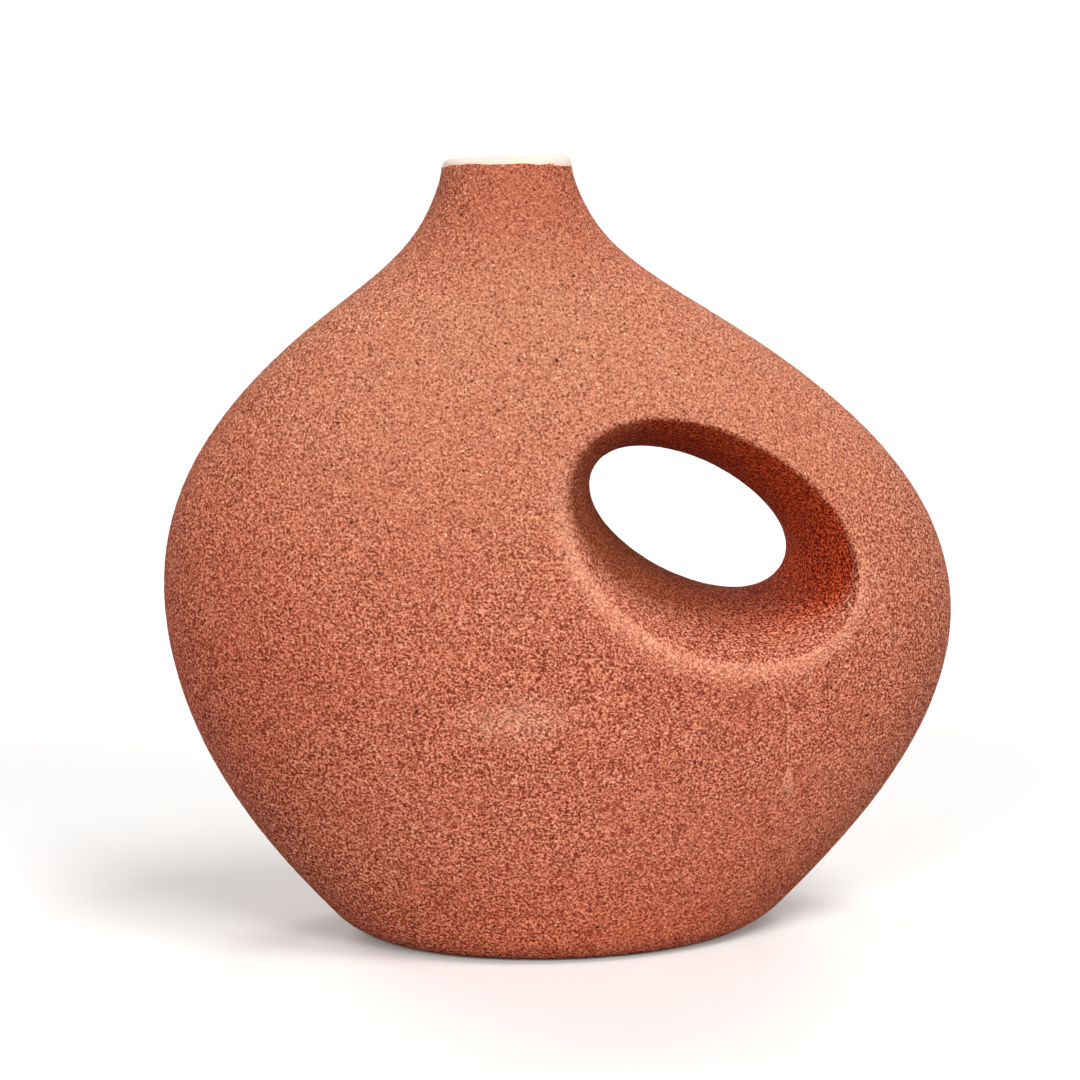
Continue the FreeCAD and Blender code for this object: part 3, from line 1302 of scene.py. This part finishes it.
    def net(self) -> Net:
        """The coat's outside between its two borders.

        Returns:
            The net, settled on the surface.
        """
        step = self.step
        room = self.room_steps * step
        widest = self.form.widest
        low = np.array([-widest.width / 2 - room, -widest.depth / 2 - room, -room])
        high = np.array([widest.width / 2, widest.depth / 2, self.form.lip.height]) + room
        x, y, z = (np.arange(start, end, step) for start, end in zip(low, high))
        layers = [self.form.gap(x[:, None], y[None, :], height) for height in z]
        net = Net.on_grid(np.stack(layers, axis=2), low, step)
        net.points = self.settled(net.points, {})
        above_foot = net.points[:, 2] > self.border(net.points, Border.FOOT) + step / 2
        below_lip = net.points[:, 2] < self.border(net.points, Border.LIP) - step / 2
        net = net.keep(above_foot & below_lip)
        on_rim = net.rim()
        high_up = net.points[:, 2] > self.form.lip.height / 2
        rims = {Border.LIP: on_rim & high_up, Border.FOOT: on_rim & ~high_up}
        for _ in range(self.rounds):
            net.points = self.settled(net.relaxed(), rims)
        for _ in range(self.last_rounds):
            net.points = self.settled(net.points, rims)
        return net

    def build(self) -> bpy.types.Object:
        """Make the coat and dress it.

        Returns:
            The coat's object.
        """
        net = self.net()
        out = self.slope(net.points)
        out /= np.linalg.norm(out, axis=1)[:, None]
        rough = self.grit * lattice_noise(net.points, self.grit_size, Seed.GRIT)
        made = piece("coat", net.points + out * rough[:, None], net.quads)
        made.data.materials.append(self.finish.material())
        for name, values in self.marks(net.points).items():
            mark = made.data.attributes.new(name, "FLOAT", "POINT")
            mark.data.foreach_set("value", values.astype(np.float32))
        skin = made.modifiers.new("thickness", "SOLIDIFY")
        skin.thickness = self.thickness * MM
        skin.offset = -1.0
        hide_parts("outer_coat")
        return made

    def marks(self, points: np.ndarray) -> dict[str, np.ndarray]:
        """What the finish needs to know about the coat's points.

        Args:
            points: One point a row.

        Returns:
            The values of each mark, from 0 to 1.
        """
        across, height = points[:, 0], points[:, 2]
        body, hole = self.form.body_gap(*points.T), self.form.hole_gap(*points.T)
        soft = self.form.edge_round(across, height)
        left = self.form.facing(across, height, self.left_deg) ** self.left_power
        dark_from = self.dark_from - self.dark_early * left
        depth = np.clip((-body - dark_from) / (self.dark_over - self.dark_quick * left), 0, 1)
        dark = self.form.facing(across, height, self.form.softest_deg)
        wear_and_crest_light = self.form.facing(across, height, self.lit_crest_deg)
        ragged = self.ragged * lattice_noise(points, self.grit_size, Seed.RAGGED)
        late = np.minimum(self.late_gain * wear_and_crest_light**self.late_power, 1)
        start = self.edge_share * soft + self.late_by * late - self.shade_early
        behind = np.clip((ragged - body - start) / (self.shade_over + self.late_over * late), 0, 1)
        wall = np.clip(1 + hole / (self.wall_reach + self.wall_reach_soft * soft), 0, 1)
        shaded = np.clip(self.shaded_gain * self.form.facing(across, height, self.shaded_deg), 0, 1)
        outward = body - hole
        inner = self.edge_share * soft + self.lit_crest_inner
        near = np.where(outward > 0, 1 - outward / self.lit_crest_outer, 1 + outward / inner)
        edge = np.clip(near, 0, 1) * np.clip((wear_and_crest_light - self.lit_crest_from) / self.lit_crest_grows, 0, 1)
        # Painted shade deep in the hole and behind its upper edge, and painted highlight on its lit crest
        return {
            DEEP_SHADE_MARK: smooth_step(depth) * dark * wall,
            SHADE_MARK: smooth_step(behind) * shaded * wall,
            CREST_LIGHT_MARK: edge,
        }

    def front_point(self, x: float, z: float) -> np.ndarray:
        """The point of the coat's front at a place in X and a height.

        Args:
            x: The place in X.
            z: The height.

        Returns:
            The point.
        """
        near, far = -self.form.widest.depth, 0.0
        for _ in range(self.halvings):
            middle = (near + far) / 2
            outside = self.gap(np.array([[x, middle, z]]))[0] > 0
            near, far = (middle, far) if outside else (near, middle)
        return np.array([x, near, z])


@dataclass
class LipGlaze:
    """The cream glaze that rolls over the lip, a closed bead from under the coat to inside the neck."""

    form: VaseForm
    finish: CreamFinish
    around: int = 180
    uneven: float = 0.08
    uneven_size: float = 9.0
    smooth_levels: int = 2
    # Each corner of the bead's section: how far in from the outside, and how far below the lip
    section: tuple[tuple[float, float], ...] = (
        (1.3, 4.8),
        (0.4, 3.9),
        (-0.1, 3.1),
        (-0.16, 2.2),
        (-0.12, 1.4),
        (0.18, 0.45),
        (0.9, -0.12),
        (1.8, -0.3),
        (2.8, -0.32),
        (3.8, -0.28),
        (4.75, 0.05),
        (5.5, 0.7),
        (5.72, 1.7),
        (5.7, 3.4),
        (5.7, 6.5),
        (5.6, 9.5),
        (4.6, 10.2),
        (3.0, 8.0),
        (1.4, 5.8),
    )

    def build(self) -> bpy.types.Object:
        """Make the bead and dress it.

        Returns:
            The bead's object.
        """
        points = []
        for step in range(self.around):
            turn = 2 * math.pi * step / self.around
            for inset, drop in self.section:
                (middle, _), (wide, wide_slope), (deep, _) = self.form.section(self.form.lip.height - drop)
                inward = inset * math.hypot(1.0, wide_slope)
                x = middle + (wide - inward) * math.cos(turn)
                y = (deep - inward) * math.sin(turn)
                points.append((x, y, self.form.lip_plane(x) - drop))
        points = np.array(points)
        points[:, 2] += self.uneven * lattice_noise(points, self.uneven_size, Seed.LIP)
        made = piece("lip_glaze", points, tube_faces(self.around, len(self.section), True))
        smooth = made.modifiers.new("smooth", "SUBSURF")
        smooth.levels = smooth.render_levels = self.smooth_levels
        made.data.materials.append(self.finish.material())
        return made


@dataclass
class GlazeRun:
    """A thin run of coat that dried on its way down, with a small drop at its end."""

    coat: GrittyCoat
    finish: GrittyFinish
    name: str
    top: tuple[float, float]
    bottom: tuple[float, float]
    # How far the middle of the run stands to the right of the straight line
    bow: float = 0.0
    half_width: float = 0.35
    height: float = 0.4
    drop: float = 2.2
    # The shares of the height that the run has above its drop and on it
    line: float = 0.1
    swollen: float = 1.5
    # How far the run wanders to the sides, and how far its wave goes on, in radians
    wander: float = 0.2
    wander_turn: float = 7.0
    # Along the run: where the drop begins, over what share it grows, and over what share the top thins
    # out. The power makes the tip round, and the last value keeps the ends from closing up.
    drop_from: float = 0.72
    drop_grows: float = 0.16
    top_grows: float = 0.15
    tip_power: int = 16
    least: float = 0.02
    rings: int = 40
    around: int = 14

    def build(self) -> bpy.types.Object:
        """Make the run and dress it.

        Returns:
            The run's object.
        """
        points = []
        for share in np.linspace(0, 1, self.rings):
            x = self.top[0] + (self.bottom[0] - self.top[0]) * share
            x += self.wander * math.sin(self.wander_turn * share) + 4 * self.bow * share * (1 - share)
            z = self.top[1] + (self.bottom[1] - self.top[1]) * share
            at = self.coat.front_point(x, z)
            out = self.coat.slope(at[None, :])[0]
            out /= np.linalg.norm(out)
            side = np.cross([0, 0, 1], out)
            side /= np.linalg.norm(side)
            end = smooth_step(min(max((share - self.drop_from) / self.drop_grows, 0.0), 1.0))
            tip = math.sqrt(max(1 - share**self.tip_power, 0.0))
            fade = min(share / self.top_grows, 1.0) * tip + self.least
            wide = fade * (self.half_width + (self.drop - self.half_width) * end)
            tall = fade * self.height * (self.line + (self.swollen - self.line) * end)
            for step in range(self.around):
                turn = 2 * math.pi * step / self.around
                points.append(at + side * wide * math.cos(turn) + out * tall * math.sin(turn))
        made = piece(self.name, np.array(points), tube_faces(self.rings, self.around, False))
        made.data.materials.append(self.finish.material())
        return made


@dataclass
class PlainSolids:
    """The solids that are drawn as they come: the clay pieces, the foot's slab and the glaze inside."""

    nodes: dict[str, bpy.types.Object]
    finishes: dict[Slot, Callable[[], bpy.types.Material]]

    def dress(self, subparts: list[dict]) -> list[str]:
        """Give each node whose slot has a finish here that finish.

        Args:
            subparts: The record's list of nodes and slots.

        Returns:
            The names of the dressed nodes.
        """
        made: dict[Slot, bpy.types.Material] = {}
        dressed = []
        for row in subparts:
            slot = Slot(row["material_slot"])
            if slot not in self.finishes:
                continue
            if slot not in made:
                made[slot] = self.finishes[slot]()
            mesh = self.nodes[row["node"]].data
            mesh.materials.clear()
            mesh.materials.append(made[slot])
            dressed.append(row["node"])
        return dressed


@dataclass(frozen=True)
class Lamp:
    """A wide soft lamp far away: the direction it shines from and its strength."""

    name: str
    azimuth_deg: float
    elevation_deg: float
    strength: float


def direction(azimuth_deg: float, elevation_deg: float) -> Vector:
    """The way from the vase to a lamp or a camera.

    Args:
        azimuth_deg: Its turn from the front, rising to the right.
        elevation_deg: Its angle above the floor.

    Returns:
        The direction, of length 1.
    """
    turn, rise = math.radians(azimuth_deg), math.radians(elevation_deg)
    return Vector((math.sin(turn) * math.cos(rise), -math.cos(turn) * math.cos(rise), math.sin(rise)))


@dataclass
class Studio:
    """A pale floor, soft lamps and the camera."""

    azimuth_deg: float = -10.0
    elevation_deg: float = 8.0
    distance: float = 780.0
    target: tuple[float, float, float] = (-9.08, 0.0, 123.02)
    focal_pixels: float = 2491.02
    near_clip: float = 10.0
    floor_size: float = 40000.0
    # How far the floor lies below the foot, so that the two don't share a plane
    floor_gap: float = 0.05
    # The two tones of the floor's patches, as the camera sees them, the tone that lights the vase from
    # below, and how many patches there are in a metre
    floor_dull: tuple[float, ...] = linear(246, 245, 243)
    floor_bright: tuple[float, ...] = linear(250, 249, 248)
    floor_glow: tuple[float, ...] = linear(150, 147, 143)
    floor_fineness: float = 3.0
    floor_roughness: float = 0.9
    lamps: tuple[Lamp, ...] = (
        Lamp("left_lamp", -40.0, 25.0, 1.6),
        Lamp("right_lamp", 30.0, 25.0, 1.64),
        Lamp("high_lamp", 45.0, 60.0, 1.25),
        Lamp("back_left_lamp", -140.0, 35.0, 0.8),
        Lamp("back_right_lamp", 140.0, 35.0, 0.8),
    )
    lamp_spread_deg: float = 24.0
    room_colour: tuple[float, ...] = (1.0, 0.995, 0.985, 1.0)
    room_light: float = 0.2
    room_seen: float = 1.02

    def floor(self) -> None:
        """Lay the floor."""
        half, low = self.floor_size / 2 * MM, -self.floor_gap * MM
        corners = [(-half, -half, low), (half, -half, low), (half, half, low), (-half, half, low)]
        mesh = bpy.data.meshes.new("floor")
        mesh.from_pydata(corners, [], [(0, 1, 2, 3)])
        made = bpy.data.objects.new("floor", mesh)
        bpy.context.scene.collection.objects.link(made)
        material, wiring, shader, place = start_material("pale_floor")
        patches = wiring.noise(place, self.floor_fineness)["Fac"]
        colour = wiring.mix(patches, self.floor_dull, self.floor_bright)
        seen = wiring.node("ShaderNodeLightPath").outputs["Is Camera Ray"]
        colour = wiring.mix(seen, self.floor_glow, colour)
        wiring.fill(shader, {"Base Color": colour, "Roughness": self.floor_roughness})
        made.data.materials.append(material)

    def light(self, lamp: Lamp) -> None:
        """Hang one lamp."""
        data = bpy.data.lights.new(lamp.name, "SUN")
        data.energy = lamp.strength
        data.angle = math.radians(self.lamp_spread_deg)
        made = bpy.data.objects.new(lamp.name, data)
        way = direction(lamp.azimuth_deg, lamp.elevation_deg)
        made.rotation_euler = way.to_track_quat("Z", "Y").to_euler()
        bpy.context.scene.collection.objects.link(made)

    def room(self) -> None:
        """Put the vase in an even pale room, which looks brighter than the light it gives."""
        world = bpy.data.worlds.new("pale_room")
        world.use_nodes = True
        wiring = Wiring(world.node_tree)
        seen = wiring.node("ShaderNodeLightPath").outputs["Is Camera Ray"]
        strength = wiring.math("MULTIPLY_ADD", seen, self.room_seen - self.room_light, self.room_light)
        background = world.node_tree.nodes["Background"]
        wiring.fill(background, {"Color": self.room_colour, "Strength": strength})
        bpy.context.scene.world = world

    def camera(self) -> None:
        """Set up the camera at the photograph's angle."""
        back = direction(self.azimuth_deg, self.elevation_deg)
        data = bpy.data.cameras.new("camera")
        data.sensor_width = SENSOR_MM
        data.lens = self.focal_pixels * SENSOR_MM / IMAGE_PIXELS
        data.clip_start = self.near_clip * MM
        made = bpy.data.objects.new("camera", data)
        made.location = (Vector(self.target) + back * self.distance) * MM
        made.rotation_euler = back.to_track_quat("Z", "Y").to_euler()
        bpy.context.scene.collection.objects.link(made)
        bpy.context.scene.camera = made

    def build(self) -> None:
        """Set up the whole studio."""
        bpy.context.scene.view_settings.view_transform = "Standard"
        self.floor()
        for lamp in self.lamps:
            self.light(lamp)
        self.room()
        self.camera()


def main() -> None:
    """Build the pieces in order and report each."""
    logging.basicConfig(level=logging.INFO, format="%(name)s: %(message)s")
    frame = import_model()
    form = VaseForm()
    scuff = Scuff(middle=(-26.0, -53.0, 77.5), reach=(24.0, 25.0, 11.0))
    coat = GrittyCoat(form, GrittyFinish(scuff=scuff))
    made = [coat.build()]
    made.append(LipGlaze(form, CreamFinish("cream_lip")).build())
    run_finish = GrittyFinish(
        "gritty_run", shade=linear(204, 108, 80), light=linear(255, 190, 162), tints=(), strong=0.4
    )
    made.append(GlazeRun(coat, run_finish, "run", top=(58.1, 82.3), bottom=(60.0, 48.8)).build())
    side_finish = GrittyFinish("gritty_side_run", shade=linear(160, 80, 54), light=linear(253, 190, 156))
    side_run = GlazeRun(
        coat,
        side_finish,
        "side_run",
        top=(85.9, 120.6),
        bottom=(94.2, 91.0),
        bow=1.2,
        half_width=1.5,
        height=0.3,
        drop=1.5,
        line=0.5,
    )
    made.append(side_run.build())
    for one in made:
        LOG.info("%s: %d faces", one.name, len(one.data.polygons))
    finishes = {
        Slot.CLAY: ClayFinish().material,
        Slot.BARE_CLAY: ClayFinish("bare_foot_clay").material,
        Slot.GLAZE: CreamFinish().material,
    }
    for name in PlainSolids(frame["nodes"], finishes).dress(frame["record"]["subparts"]):
        LOG.info("%s: dressed", name)
    Studio().build()


if __name__ == "__main__":
    main()
